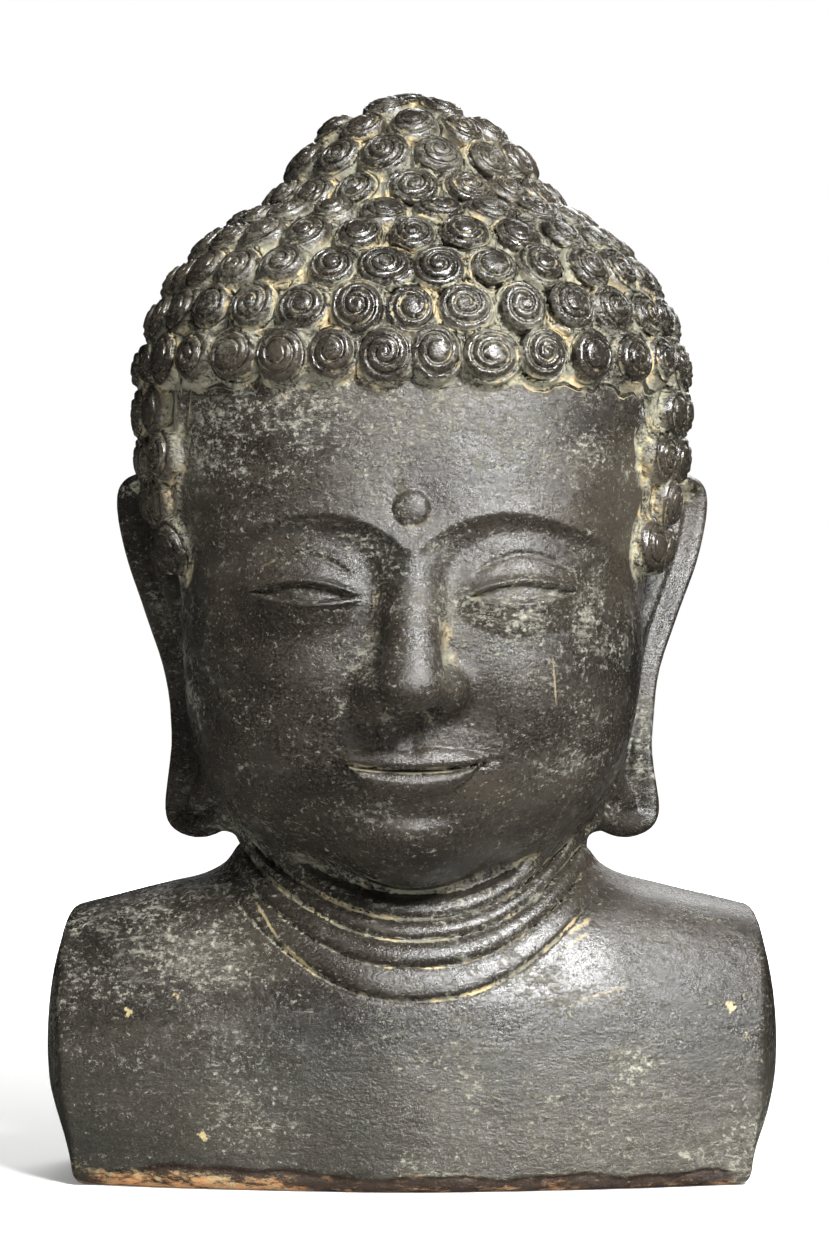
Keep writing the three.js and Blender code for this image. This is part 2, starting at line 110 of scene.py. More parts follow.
# Ears
EAR_HEIGHT = 166
EAR_THICKNESS = 11
EAR_ROOT_X = 87
EAR_ROOT_Y = -1
EAR_SPLAY = 45
EAR_OUTLINE = [(0, 0.02), (14, 0), (28, 0.02), (33, 0.08), (30, 0.19), (28.5, 0.28), (32, 0.43), (45, 0.6),
               (59, 0.76), (66, 0.9), (64, 0.98), (52, 1.01), (26, 1), (0, 0.97)]

# Levels that follow from the sizes above
THIRD = FACE_HEIGHT / 3
HAIRLINE = CHIN_LEVEL + FACE_HEIGHT
BROW_LEVEL = CHIN_LEVEL + 2 * THIRD
NOSE_BASE = CHIN_LEVEL + THIRD
MOUTH_LEVEL = NOSE_BASE - THIRD / 3
EYE_LEVEL = BROW_LEVEL - THIRD / 4
SKULL_LEVEL = HAIRLINE - 13
KNOT_LEVEL = SKULL_LEVEL + 77
EYE_WIDTH = 2 * SKULL_HALF_WIDTH / 5
EYE_CENTRE = EYE_WIDTH
MOUTH_HALF_WIDTH = 0.75 * EYE_WIDTH
EAR_BOTTOM = CHIN_LEVEL + 13.5
EAR_TOP = EAR_BOTTOM + EAR_HEIGHT

# Chips on the chest, each as its place across and up, and its size
CHIPS = [((-125, 77), 2.2), ((141, 79), 2.6), ((-104, 84), 1.3), ((148, 66), 1.6), ((-92, 24), 1.5)]

# Streaks of pale deposit seen from the front: both ends, across and up, half the width, and the strength
STREAKS = [
    ((-70, 126), (-58, 108), 0.8, 0.7),
    ((-58, 108), (-40, 93), 1.2, 0.9),
    ((68, 111), (80, 118), 1.1, 0.7),
    ((67, 106), (79, 112), 1.1, 0.6),
    ((70, 82), (99, 90), 0.9, 0.3),
    ((60.5, 235), (62.5, 211), 0.45, 0.5),
]

# The ledge above the worn lower edge: its level, the height, place and width of its hump, and its waves,
# each as its height, its length and its start
LEDGE = SimpleNamespace(level=7.2, hump=4, place=-85, width=38, waves=[(0.9, 9.5, 0.4), (0.5, 4.2, 2)])

# Colours
DARK_BROWN = (0.0085, 0.0072, 0.0056, 1)
WARM_BROWN = (0.038, 0.0315, 0.024, 1)
# Dust grey, also the colour of the painted sheen low on the bust
DUST_AND_SHEEN = (0.30, 0.292, 0.232, 1)
GREY_GREEN = (0.21, 0.203, 0.142, 1)
CREAM = (0.46, 0.36, 0.19, 1)
PALE_CHIP = (0.38, 0.31, 0.16, 1)
WORN_DARK = (0.018, 0.013, 0.010, 1)
WORN_BROWN = (0.060, 0.040, 0.028, 1)
ORANGE_CLAY = (0.36, 0.17, 0.055, 1)
TAN_CLAY = (0.33, 0.26, 0.13, 1)
FLOOR_TONE = (0.8, 0.8, 0.79, 1)
WHITE = (1, 1, 1, 1)

# Camera and stage, in metres apart from the lens
CAMERA_PLACE = (0.0011, -2.0, 0.249)
CAMERA_LENS = 127
CAMERA_SENSOR = 36
FLOOR_REACH = 6
ROUND_LIGHT = 0.02

# Mesh
VOXEL = 1.1
BRICK = 4
MOST_TRIANGLES = 198000
GRID_LOW = (-176, -160, -4.0)
GRID_HIGH = (176, 152, 510.0)
FAR = 90.0
TINY = 1e-6
LATTICE = np.random.default_rng(7).uniform(-1, 1, (32, 32, 32)).astype(np.float32)


# Small tools for fields

def smooth(x, low, high):
    t = np.clip((x - low) / (high - low), 0, 1)
    return t * t * (3 - 2 * t)


def mix(a, b, t):
    return a + (b - a) * t


def bell(x):
    return np.exp(-x * x)


def dome(squared, power=1.0):
    return np.maximum(0, 1 - squared) ** power


def blend_min(a, b, width):
    h = np.maximum(width - np.abs(a - b), 0) / width
    return np.minimum(a, b) - h * h * width / 4


def blend_max(a, b, width):
    return -blend_min(-a, -b, width)


def noise(x, y, z, scale):
    """Smooth random values from -1 to 1, with humps about scale wide."""
    cells, shares = [], []
    for value in (x, y, z):
        cell = np.floor(value / scale)
        share = value / scale - cell
        cells.append(cell.astype(np.int32))
        shares.append(share * share * (3 - 2 * share))
    total = 0
    for corner in range(8):
        bits = [corner >> axis & 1 for axis in range(3)]
        weight = 1
        for bit, share in zip(bits, shares):
            weight = weight * (share if bit else 1 - share)
        i, j, k = [(cell + bit) & 31 for cell, bit in zip(cells, bits)]
        total = total + weight * LATTICE[i, j, k]
    return total


def only_where(chosen, function, *arrays):
    """A field worked out only at the chosen points, and far off elsewhere."""
    out = np.full(arrays[0].shape, FAR, np.float32)
    out[chosen] = function(*[array[chosen] for array in arrays])
    return out


# Bust and neck

def ovoid(x, y, z, half, front, rise, back=None, power=2.0):
    depth = np.where(y < 0, front, back or front)
    summed = np.abs(x / half) ** power + np.abs(y / depth) ** power + np.abs(z / rise) ** power
    gauge = summed ** (1 / power)
    return np.sqrt(x * x + y * y + z * z) * (1 - 1 / np.maximum(gauge, TINY))


def bust(x, y, z):
    across = np.minimum(np.abs(x) / BUST_HALF_WIDTH, 1.2)
    depth = np.where(y < 0, BUST_FRONT, BUST_BACK) - BUST_TAPER * across ** 2
    height = SHOULDER_TOP - SHOULDER_DROP * across ** 1.6
    summed = np.abs(y / depth) ** LOAF_POWER + (np.maximum(z, 0) / height) ** LOAF_POWER
    gauge = summed ** (1 / LOAF_POWER)
    loaf = np.hypot(y, z) * (1 - 1 / np.maximum(gauge, TINY))
    middle = (SHOULDER_TOP - SHOULDER_DROP) / 2
    pillow = ARM_CUT_BULGE * dome((y / ARM_CUT_HALF_DEPTH) ** 2) * dome(((z - middle) / middle) ** 2)
    arm = np.abs(x) - BUST_HALF_WIDTH - pillow + BASE_TAPER * smooth(-z, -BASE_TAPER_HEIGHT, 0)
    return blend_max(loaf, arm, 3) + worn_edge(x, y, z)


def worn_edge(x, y, z):
    """How far the stone is worn back along the lower front edge, below an uneven ledge."""
    ledge = LEDGE.level + LEDGE.hump * bell((x - LEDGE.place) / LEDGE.width)
    for height, length, start in LEDGE.waves:
        ledge = ledge + height * np.sin(x / length + start)
    rough = 0.5 * noise(x, y, z, 9) + 0.4 * noise(x, y, z, 3.5)
    worn = smooth(-y, 0, 30) * smooth(-np.abs(x), -147, -135)
    return (EDGE_WEAR + rough) * smooth(ledge - z, -0.4, 0.8) * worn


def neck(x, y, z):
    down = np.clip(SHOULDER_TOP - z, 0, NECK_SPREAD_DEPTH)
    depth = np.where(y < 0, NECK_FRONT + NECK_SPREAD * down, NECK_BACK)
    gauge = np.hypot(x / (NECK_HALF_WIDTH + 0.1 * down), y / depth)
    tube = np.hypot(x, y) * (1 - 1 / np.maximum(gauge, TINY))
    return blend_max(tube, z - SKULL_LEVEL + SKULL_HALF_WIDTH / 2, 10)


def fold_relief(x, y, z, from_neck):
    """Rounded rolls between sharp creases, gone where the shoulders leave the neck."""
    wander = 1.3 * noise(x, y, 0 * z, 34)
    rise = FOLD_RISE * mix(np.minimum(np.abs(x) / NECK_HALF_WIDTH, 1.17) ** 2.2, 1, smooth(y, -40, 0))
    level = z + wander - rise
    fade = mix(1, 0.45, smooth(y, -30, 40)) * smooth(-from_neck, -28, -12) * smooth(-np.abs(x), -86, -71)
    rolls = 0
    for bottom, top, height in zip(FOLD_LEVELS, FOLD_LEVELS[1:], FOLD_RELIEFS):
        rolls = np.maximum(rolls, height * dome((2 * (level - bottom) / (top - bottom) - 1) ** 2, 0.6))
    return (rolls - LOWEST_CREASE * bell((level - FOLD_LEVELS[0]) / 1.3)) * fade


def shoulders(x, y, z):
    throat = neck(x, y, z)
    joined = blend_min(bust(x, y, z), throat, NECK_BLEND) - fold_relief(x, y, z, throat)
    return blend_max(joined, -z, BASE_CHAMFER)


# Head and face

def head_mass(x, y, z):
    back = y - SKULL_SET_BACK
    up = z - CHIN_LEVEL - FACE_MIDDLE
    skull = ovoid(x, back, z - SKULL_LEVEL, SKULL_HALF_WIDTH, SKULL_FRONT, SKULL_RISE, SKULL_BACK,
                  SKULL_POWER)
    knot = ovoid(x, back, z - KNOT_LEVEL, KNOT_HALF_WIDTH, KNOT_HALF_WIDTH, KNOT_RISE, power=KNOT_POWER)
    face = ovoid(x, y + 6, up, FACE_HALF_WIDTH, FACE_DEPTH, FACE_RISE, power=FACE_POWER)
    muzzle = ovoid(x, y + 94, z - MOUTH_LEVEL, 38, 22, 27)
    chin = ovoid(x, y + 76, z - CHIN_LEVEL - 21, 27, 26, 24)
    front = blend_min(blend_min(face, muzzle, 18), chin, 22)
    return blend_min(blend_min(skull, knot, 10), front, 26)


def brow_rise(side):
    return -3 + 16 * np.sin(np.pi * np.clip((side - 3) / 92, 0, 1) ** 0.8)


def brow_relief(side, z):
    above = z - BROW_LEVEL - brow_rise(side)
    crest = np.where(above > 0, np.exp(-np.maximum(above, 0) / 13), bell(above / 3.2))
    return 3.8 * crest * smooth(-side, -96, -74)


def eye_relief(side, z):
    """The socket, the eyeball, and half-closed lids with a crease above them."""
    along = (side - EYE_CENTRE) / EYE_WIDTH + 0.5
    arch = np.sin(np.pi * np.clip(along, 0, 1))
    upper = EYE_LEVEL - 5 + 4.6 * arch + 2.5 * along
    lower = EYE_LEVEL - 5 - 3.4 * arch + 2.5 * along
    within = smooth(along, -0.1, 0.04) * smooth(-along, -1.1, -0.96)
    socket = -8 * bell((side - EYE_CENTRE + 4) / 30) * bell((z - EYE_LEVEL - 7) / 15)
    wide = ((side - EYE_CENTRE) / (0.72 * EYE_WIDTH)) ** 2 + ((z - EYE_LEVEL) / (0.5 * EYE_WIDTH)) ** 2
    ball = 11 * dome(wide, 1.5)
    opening = -2.8 * smooth(upper - z, -0.4, 0.6) * smooth(z - lower, -0.4, 0.6)
    upper_lid = 2.3 * bell((z - upper - 1.6) / 1.6)
    lower_lid = 1.5 * bell((z - lower + 1.5) / 1.5)
    crease = -1.6 * bell((z - upper - 8 - 4.5 * arch) / 1.3) * smooth(arch, 0, 0.5)
    return socket + ball + within * (opening + upper_lid + lower_lid + crease)


def nose(x, y, z):
    """Bridge and tip, two wings, and the nostrils cut into the underside."""
    side = np.abs(x)
    root, tip = np.array([0, -113, BROW_LEVEL - 4]), np.array([0, -137, NOSE_BASE + 12])
    run = tip - root
    ahead, up = y - root[1], z - root[2]
    t = np.clip((ahead * run[1] + up * run[2]) / (run @ run), 0, 1)
    away = np.sqrt((0.84 * x) ** 2 + (ahead - t * run[1]) ** 2 + (up - t * run[2]) ** 2)
    bridge = away - mix(7, 11.5, t)
    wing = ovoid(side - 14, y + 119, z - NOSE_BASE - 9, 10, 15, 9.5)
    nostril = ovoid(side - 8.6, y + 127, z - NOSE_BASE - 0.5, 4.4, 8, 5)
    return bridge, wing, nostril


def mouth_relief(side, z):
    along = side / MOUTH_HALF_WIDTH
    line = MOUTH_LEVEL + 3.5 * along ** 2
    upper_edge = line + 10 * dome(along ** 2, 0.7) - 2.2 * bell(side / 5)
    lower_edge = line - 13.5 * dome((along / 0.8) ** 2, 0.6)
    above = (z - line) / np.maximum(upper_edge - line, 1)
    below = (line - z) / np.maximum(line - lower_edge, 1)
    ends = smooth(-along, -1.02, -0.75)
    upper_lip = np.where(above > 0, 5 * dome(above ** 2, 0.7), 0)
    lower_lip = 6.5 * np.maximum(np.sin(np.pi * np.clip(below, 0, 1)), 0) ** 0.7
    parting = -2.6 * bell((z - line) / 1.2) * smooth(-along, -1.1, -0.95)
    hollow = -3.5 * bell(side / 22) * bell((z - MOUTH_LEVEL + 20) / 6)
    groove = smooth(z, upper_edge, upper_edge + 3) * smooth(-z, -NOSE_BASE - 1, -NOSE_BASE + 3)
    return ends * (upper_lip + lower_lip) + parting + hollow - 1.6 * bell(side / 4) * groove


def face_relief(x, y, z):
    """Everything carved on the front of the face, as a height over the plain mass."""
    side = np.abs(x)
    cheek = 4 * bell((side - 52) / 25) * bell((z - NOSE_BASE - 12) / 26)
    chin = 3 * bell(side / 17) * bell((z - CHIN_LEVEL - 20) / 13)
    mark = 4.5 * dome((side ** 2 + (z - BROW_LEVEL - 15) ** 2) / 8 ** 2, 0.5)
    carved = brow_relief(side, z) + eye_relief(side, z) + mouth_relief(side, z)
    return (carved + cheek + chin + mark) * smooth(-y, 20, 50)


def hair_level(degrees):
    """Lowest level of the hair in a direction, in degrees from the front."""
    away = np.abs(degrees)
    temple = HAIRLINE - 82 * smooth(away, 52, 60)
    return mix(temple, HAIRLINE - 144, smooth(away, 98, 112))


def head(x, y, z):
    field = head_mass(x, y, z)
    face = (y < -20) & (z < HAIRLINE) & (z > CHIN_LEVEL - 20)
    fx, fy, fz = x[face], y[face], z[face]
    bridge, wing, nostril = nose(fx, fy, fz)
    nosed = blend_min(blend_min(field[face] - face_relief(fx, fy, fz), bridge, 13), wing, 8)
    field[face] = blend_max(nosed, -nostril, 2)
    degrees = np.degrees(np.arctan2(x, SKULL_SET_BACK - y))
    return field - HAIR_THICKNESS * smooth(z - hair_level(degrees), -2, 2)


def stone(x, y, z):
    """The whole stone but its ears and curls."""
    low = only_where(z < SHOULDER_TOP + 75, shoulders, x, y, z)
    high = only_where(z > CHIN_LEVEL - 45, head, x, y, z)
    return blend_min(low, high, 8)


# Ears

def spline(spots, steps):
    """Points on a Catmull-Rom curve through the spots."""
    p = np.array([spots[0], *spots, spots[-1]], float)
    found = []
    for i in range(1, len(p) - 2):
        for t in np.arange(steps) / steps:
            found.append(0.5 * (2 * p[i] + (p[i + 1] - p[i - 1]) * t
                                + (2 * p[i - 1] - 5 * p[i] + 4 * p[i + 1] - p[i + 2]) * t ** 2
                                + (3 * p[i] - p[i - 1] - 3 * p[i + 1] + p[i + 2]) * t ** 3))
    return np.array([*found, p[-2]])


def ear_polygon():
    rim = spline([(across, up * EAR_HEIGHT) for across, up in EAR_OUTLINE], 5)
    return np.array([(-14, 0.97 * EAR_HEIGHT), (-14, 4), *rim], np.float32)


def polygon_distance(u, v, polygon):
    """Distance from a closed outline, negative inside it."""
    nearest = np.full(u.shape, 1e6, np.float32)
    inside = np.zeros(u.shape, bool)
    for (u0, v0), (u1, v1) in zip(polygon, np.roll(polygon, -1, axis=0)):
        du, dv = u1 - u0, v1 - v0
        t = np.clip(((u - u0) * du + (v - v0) * dv) / (du * du + dv * dv), 0, 1)
        nearest = np.minimum(nearest, (u - u0 - t * du) ** 2 + (v - v0 - t * dv) ** 2)
        if dv:
            inside ^= ((v0 > v) != (v1 > v)) & (u < du * (v - v0) / dv + u0)
    return np.where(inside, -1, 1) * np.sqrt(nearest)


def ear(x, y, z):
    """Both ears, as a plate with a rolled rim, an inner ridge, a deep shell and a long hollow lobe."""
    turn = math.radians(EAR_SPLAY)
    out, back = np.abs(x) - EAR_ROOT_X, y - EAR_ROOT_Y
    u = out * math.cos(turn) + back * math.sin(turn)
    w = out * math.sin(turn) - back * math.cos(turn)
    v = z - EAR_BOTTOM
    edge = polygon_distance(u, v, ear_polygon())
    up = v / EAR_HEIGHT
    inward = -edge - 16 * smooth(-u, -14, 6) * smooth(up, 0.2, 0.3)
    rim = 2.6 * bell((inward - 4.5) / 3.8) - 4 * bell((inward - 12) / 3.4)
    ridge = 2.4 * bell((inward - 19) / 3.2) * smooth(up, 0.42, 0.55)
    shell = -8.5 * smooth(-edge, 21, 29) * smooth(up, 0.45, 0.56) * smooth(-up, -0.9, -0.8)
    lobe = -4.5 * bell((u - 15) / 7) * smooth(up, 0.08, 0.18) * smooth(-up, -0.5, -0.4)
    face = EAR_THICKNESS / 2 + rim + ridge + shell + lobe
    plate = np.maximum(w - face, -w - EAR_THICKNESS / 2)
    return blend_max(plate, edge, 5)


# Curls

def meet(path, count):
    """Radius at which each of several paths, taken from outside in, meets the stone."""
    out = np.full(count, 240.0)
    outside = np.ones(count, bool)
    while outside.any() and out.max() > 1:
        outside &= stone(*path(out - 4)) > 0
        out = np.where(outside, out - 4, out)
    inside = out - 4
    for _ in range(14):
        middle = (inside + out) / 2
        outside = stone(*path(middle)) > 0
        out = np.where(outside, middle, out)
        inside = np.where(outside, inside, middle)
    return (inside + out) / 2


def ring_points(degrees, level=None, climb=None):
    """Points of the stone on a level ring, or on a cone that climbs from the middle of the skull."""
    angle = np.radians(np.asarray(degrees, float))
    climb = np.radians(np.zeros(angle.shape) if climb is None else np.broadcast_to(climb, angle.shape))
    start = SKULL_LEVEL if level is None else level

    def path(r):
        return (r * np.sin(angle) * np.cos(climb), SKULL_SET_BACK - r * np.cos(angle) * np.cos(climb),
                start + r * np.sin(climb))
    return np.stack(path(meet(path, angle.size)), axis=1)


def dome_rows():
    """Climb angles of the curl rows, a row pitch apart up to the crown."""
    climbs = np.arange(0, 90, 0.5)
    places = ring_points(np.full(climbs.shape, 90), climb=climbs)
    travelled = np.concatenate([[0], np.cumsum(np.linalg.norm(np.diff(places, axis=0), axis=1))])
    count = int(travelled[-1] / ROW_PITCH)
    rows = [climbs[np.argmax(travelled >= (k + 1) * ROW_PITCH)] for k in range(count)]
    spare = travelled[-1] - len(rows) * ROW_PITCH
    return rows[:-1] if spare < 0.6 * ROW_PITCH else rows


def curl_count(**ring):
    places = ring_points(np.arange(0, 360, 10), **ring)
    return round(np.linalg.norm(places - np.roll(places, -1, axis=0), axis=1).sum() / CURL_PITCH)


def curl_places():
    """Middles of all curls, in rows with every second one shifted by half a curl."""
    found = []
    count = curl_count(climb=0)
    for i in range(SIDE_ROWS):
        level = SKULL_LEVEL - (SIDE_ROWS - 1 - i) * ROW_PITCH
        degrees = (np.arange(count) + i % 2 / 2) * 360 / count
        away = np.abs((degrees + 180) % 360 - 180)
        by_ear = (away > EAR_GAP[0]) & (away < EAR_GAP[1]) & (level < EAR_TOP + 2)
        shown = ~by_ear & (level - ROW_PITCH / 2 > hair_level(away) - 6) & (away > SIDE_START)
        found.append(ring_points(degrees[shown], level=level))
    for i, climb in enumerate(dome_rows()):
        count = curl_count(climb=climb)
        found.append(ring_points((np.arange(count) + (i + 1) % 2 / 2) * 360 / count, climb=climb))
    found.append(ring_points([0], climb=90))
    return np.concatenate(found)


def gradient(field, places, reach=0.4):
    """Slope of a field, from four samples at the corners of a tetrahedron."""
    corners = np.array([(1, -1, -1), (-1, -1, 1), (-1, 1, -1), (1, 1, 1)], np.float32)
    total = 0
    for corner in corners:
        total = total + field(*(places + corner * reach).astype(np.float32).T)[:, None] * corner
    return total / (4 * reach)


def make_curls():
    random = np.random.default_rng(11)
    places = curl_places()
    normals = gradient(stone, places, 3)
    normals /= np.linalg.norm(normals, axis=1)[:, None]
    curls = []
    for place, normal in zip(places, normals):
        up = np.array([0, 0, 1.0]) if abs(normal[2]) < 0.9 else np.array([0, -1.0, 0])
        side = np.cross(up, normal)
        side /= np.linalg.norm(side)
        bulb = random.choice([1.6, 2.6, 4.2, 5.4], p=[0.35, 0.25, 0.25, 0.15])
        curls.append(SimpleNamespace(
            place=place + side * random.uniform(-1, 1) + np.cross(normal, side) * random.uniform(-1, 1),
            axes=np.array([side, np.cross(normal, side), normal], np.float32),
            radius=CURL_RADIUS * random.uniform(0.93, 1.05),
            height=CURL_HEIGHT * random.uniform(0.88, 1.1),
            stretch=random.uniform(0.93, 1.07),
            bulb=bulb,
            pitch=random.uniform(3.3, 4.4),
            start=random.uniform(0, 2 * math.pi),
            hand=random.choice([-1, 1], p=[0.3, 0.7]),
            groove=CURL_GROOVE * random.uniform(0.7, 1.15),
        ))
    return curls


def curl_field(curl, x, y, z):
    """A flattened dome with a spiral groove that winds out from its bulb."""
    u, v, w = curl.axes @ np.stack([x - curl.place[0], y - curl.place[1], z - curl.place[2]])
    u, v = u * curl.stretch, v / curl.stretch
    r = np.hypot(u, v)
    gauge = ((r / curl.radius) ** 2.3 + np.abs(w / curl.height) ** 2.3) ** (1 / 2.3)
    mound = np.sqrt(r * r + w * w) * (1 - 1 / np.maximum(gauge, TINY))
    turn = (r - curl.bulb) / curl.pitch - curl.hand * (np.arctan2(v, u) - curl.start) / (2 * math.pi)
    off = (turn - np.round(turn)) * curl.pitch
    fade = smooth(r, curl.bulb - 1.5, curl.bulb + 0.8) * smooth(curl.radius - r, -0.5, 1.5)
    return mound + curl.groove * bell(off / 0.95) * fade


def add_curls(field, x, y, z):
    order = np.argsort(z, kind="stable")
    heights = z[order]
    for curl in curls:
        reach = curl.radius + 5
        first, last = np.searchsorted(heights, [curl.place[2] - reach, curl.place[2] + reach])
        near = order[first:last]
        near = near[(np.abs(x[near] - curl.place[0]) < reach) & (np.abs(y[near] - curl.place[1]) < reach)]
        if near.size:
            field[near] = blend_min(field[near], curl_field(curl, x[near], y[near], z[near]), 1.6)


def shape(x, y, z):
    """The finished stone."""
    field = stone(x, y, z)
    near = (np.abs(x) > 60) & (np.abs(z - (EAR_BOTTOM + EAR_TOP) / 2) < EAR_HEIGHT / 2 + 12)
    field[near] = blend_min(field[near], ear(x[near], y[near], z[near]), 7)
    add_curls(field, x, y, z)
    return field - 0.45 * noise(x, y, z, 23) * smooth(z, 2, 12)


# Meshing

def grid_field():
    """The field on a regular grid. Bricks near the surface are worked out, the rest get a coarse value."""
    low = np.array(GRID_LOW, np.float32)
    high = np.array(GRID_HIGH, np.float32)
    side = BRICK * VOXEL
    bricks = np.ceil((high - low) / side).astype(int)
    middles = np.stack(np.meshgrid(*[np.arange(n) for n in bricks], indexing="ij"), -1).reshape(-1, 3)
    places = (low + (middles + 0.5) * side).astype(np.float32)
    coarse = stone(*places.T)
    close = np.abs(coarse) < 3 * side + CURL_HEIGHT + 2
    ears = (np.abs(places[:, 0]) > 70) & (places[:, 2] > EAR_BOTTOM - 12) & (places[:, 2] < EAR_TOP + 12)
    close |= ears
    coarse[close] = shape(*places[close].T)
    near = np.abs(coarse) < 1.35 * side
    values = np.repeat(coarse[:, None], BRICK ** 3, axis=1)
    inner = np.stack(np.meshgrid(*[np.arange(BRICK)] * 3, indexing="ij"), -1).reshape(1, -1, 3)
    fine = (low + (middles[near][:, None] * BRICK + inner) * VOXEL).reshape(-1, 3).astype(np.float32)
    values[near] = shape(*fine.T).reshape(-1, BRICK ** 3)
    grid = values.reshape(*bricks, BRICK, BRICK, BRICK).transpose(0, 3, 1, 4, 2, 5)
    return np.ascontiguousarray(grid.reshape(bricks * BRICK)), low


def surface_nets(grid, low):
    """One vertex in each cell that the surface crosses, and one quad for each grid edge that it crosses."""
    inside = grid < 0
    nx, ny, nz = [n - 1 for n in grid.shape]
    corners = [(i, j, k) for i in (0, 1) for j in (0, 1) for k in (0, 1)]
    count = sum(inside[i:nx + i, j:ny + j, k:nz + k].astype(np.uint8) for i, j, k in corners)
    cells = np.argwhere((count > 0) & (count < 8))
    index = np.full((nx, ny, nz), -1, np.int32)
    index[tuple(cells.T)] = np.arange(len(cells))
    total = np.zeros((len(cells), 3))
    crossings = np.zeros(len(cells))
    for a in corners:
        for axis in range(3):
            if a[axis]:
                continue
            b = tuple(a[k] + (k == axis) for k in range(3))
            fa, fb = grid[tuple((cells + a).T)], grid[tuple((cells + b).T)]
            crossed = (fa < 0) != (fb < 0)
            t = np.where(crossed, fa / np.where(crossed, fa - fb, 1), 0)
            point = np.array(a) + t[:, None] * (np.array(b) - np.array(a))
            total += point * crossed[:, None]
            crossings += crossed
    places = low + (cells + total / crossings[:, None]) * VOXEL
    quads = []
    for axis in range(3):
        one, two = [k for k in range(3) if k != axis]
        ahead = np.moveaxis(inside, axis, 0)
        starts = np.argwhere(ahead[:-1] != ahead[1:])
        spots = np.empty_like(starts)
        spots[:, axis], spots[:, one], spots[:, two] = starts.T
        ring = []
        for back_one, back_two in [(1, 1), (0, 1), (0, 0), (1, 0)]:
            step = np.zeros(3, int)
            step[one], step[two] = back_one, back_two
            ring.append(index[tuple((spots - step).T)])
        quad = np.stack(ring, axis=1)
        flip = inside[tuple(spots.T)] == (axis == 1)
        quad[flip] = quad[flip][:, ::-1]
        quads.append(quad)
    return places, np.concatenate(quads)


def thinned(places, quads, most):
    """The mesh with its triangles cut down to a number."""
    mesh = bpy.data.meshes.new("fine")
    mesh.from_pydata(places, [], quads)
    piece = bpy.data.objects.new("fine", mesh)
    bpy.context.scene.collection.objects.link(piece)
    thin = piece.modifiers.new("thin", "DECIMATE")
    thin.ratio = min(1, most / (2 * len(quads)))
    thin.use_collapse_triangulate = True
    bpy.context.view_layer.update()
    made = bpy.data.meshes.new_from_object(piece.evaluated_get(bpy.context.evaluated_depsgraph_get()))
    bpy.data.objects.remove(piece)
    bpy.data.meshes.remove(mesh)
    return made


def settle(places):
    """Moves points onto the surface, and gives them with the surface's normals."""
    for _ in range(2):
        slope = gradient(shape, places)
        steep = np.maximum((slope ** 2).sum(1), 0.2)
        move = -shape(*places.astype(np.float32).T)[:, None] * slope / steep[:, None]
        places = places + np.clip(move, -0.5, 0.5)
    slope = gradient(shape, places)
    return places, slope / np.linalg.norm(slope, axis=1)[:, None]


def shelter(places, normals, reach):
    """How closed in a point is, from 0 in the open to 1: the stone's distance falls short of the reach."""
    ahead = shape(*(places + normals * reach).astype(np.float32).T)
    return np.clip(1 - ahead / reach, 0, 1)


def mark(mesh, name, values):
    layer = mesh.attributes.new(name, "FLOAT", "POINT")
    layer.data.foreach_set("value", np.asarray(values, np.float32))


def curl_spots(places):
    """Each point's place across its nearest curl, turned so that the spiral starts at zero, with the
    spiral's pitch and bulb. All are shares of the curl's radius."""
    spots = np.tile(np.array([9, 0, 1, 0], np.float32), (len(places), 1))
    nearest = np.full(len(places), 1.6)
    for curl in curls:
        near = np.flatnonzero((np.abs(places - curl.place) < 1.6 * curl.radius).all(1))
        u, v, w = curl.axes @ (places[near] - curl.place).T
        u, v = u * curl.stretch, v / curl.stretch
        away = np.sqrt(u * u + v * v + w * w) / curl.radius
        closer = away < nearest[near]
        near, u, v = near[closer], u[closer], v[closer]
        nearest[near] = away[closer]
        cos, sin = math.cos(curl.start), math.sin(curl.start)
        spots[near, 0] = (u * cos + v * sin) / curl.radius
        spots[near, 1] = (v * cos - u * sin) * curl.hand / curl.radius
        spots[near, 2] = curl.pitch / curl.radius
        spots[near, 3] = curl.bulb / curl.radius
    return spots


def carve():
    mesh = thinned(*surface_nets(*grid_field()), MOST_TRIANGLES)
    places = np.empty(len(mesh.vertices) * 3, np.float32)
    mesh.vertices.foreach_get("co", places)
    places, normals = settle(places.reshape(-1, 3))
    mm = (node_high.z - node_low.z) / TOTAL_HEIGHT
    mesh.vertices.foreach_set("co", (places * mm).astype(np.float32).ravel())
    mesh.update()
    mesh.shade_smooth()
    mesh.normals_split_custom_set_from_vertices(normals.tolist())
    mark(mesh, "crevice", 0.6 * shelter(places, normals, 2) + 0.4 * shelter(places, normals, 4))
    mark(mesh, "hollow", shelter(places, normals, 12))
    spots = curl_spots(places)
    for i, name in enumerate(["curl_across", "curl_along", "curl_pitch", "curl_bulb"]):
        mark(mesh, name, spots[:, i])
    piece = bpy.data.objects.new("carved_stone", mesh)
    bpy.context.scene.collection.objects.link(piece)
    return piece


# Material

BRUSHED = (0.45, 0.45, 1)


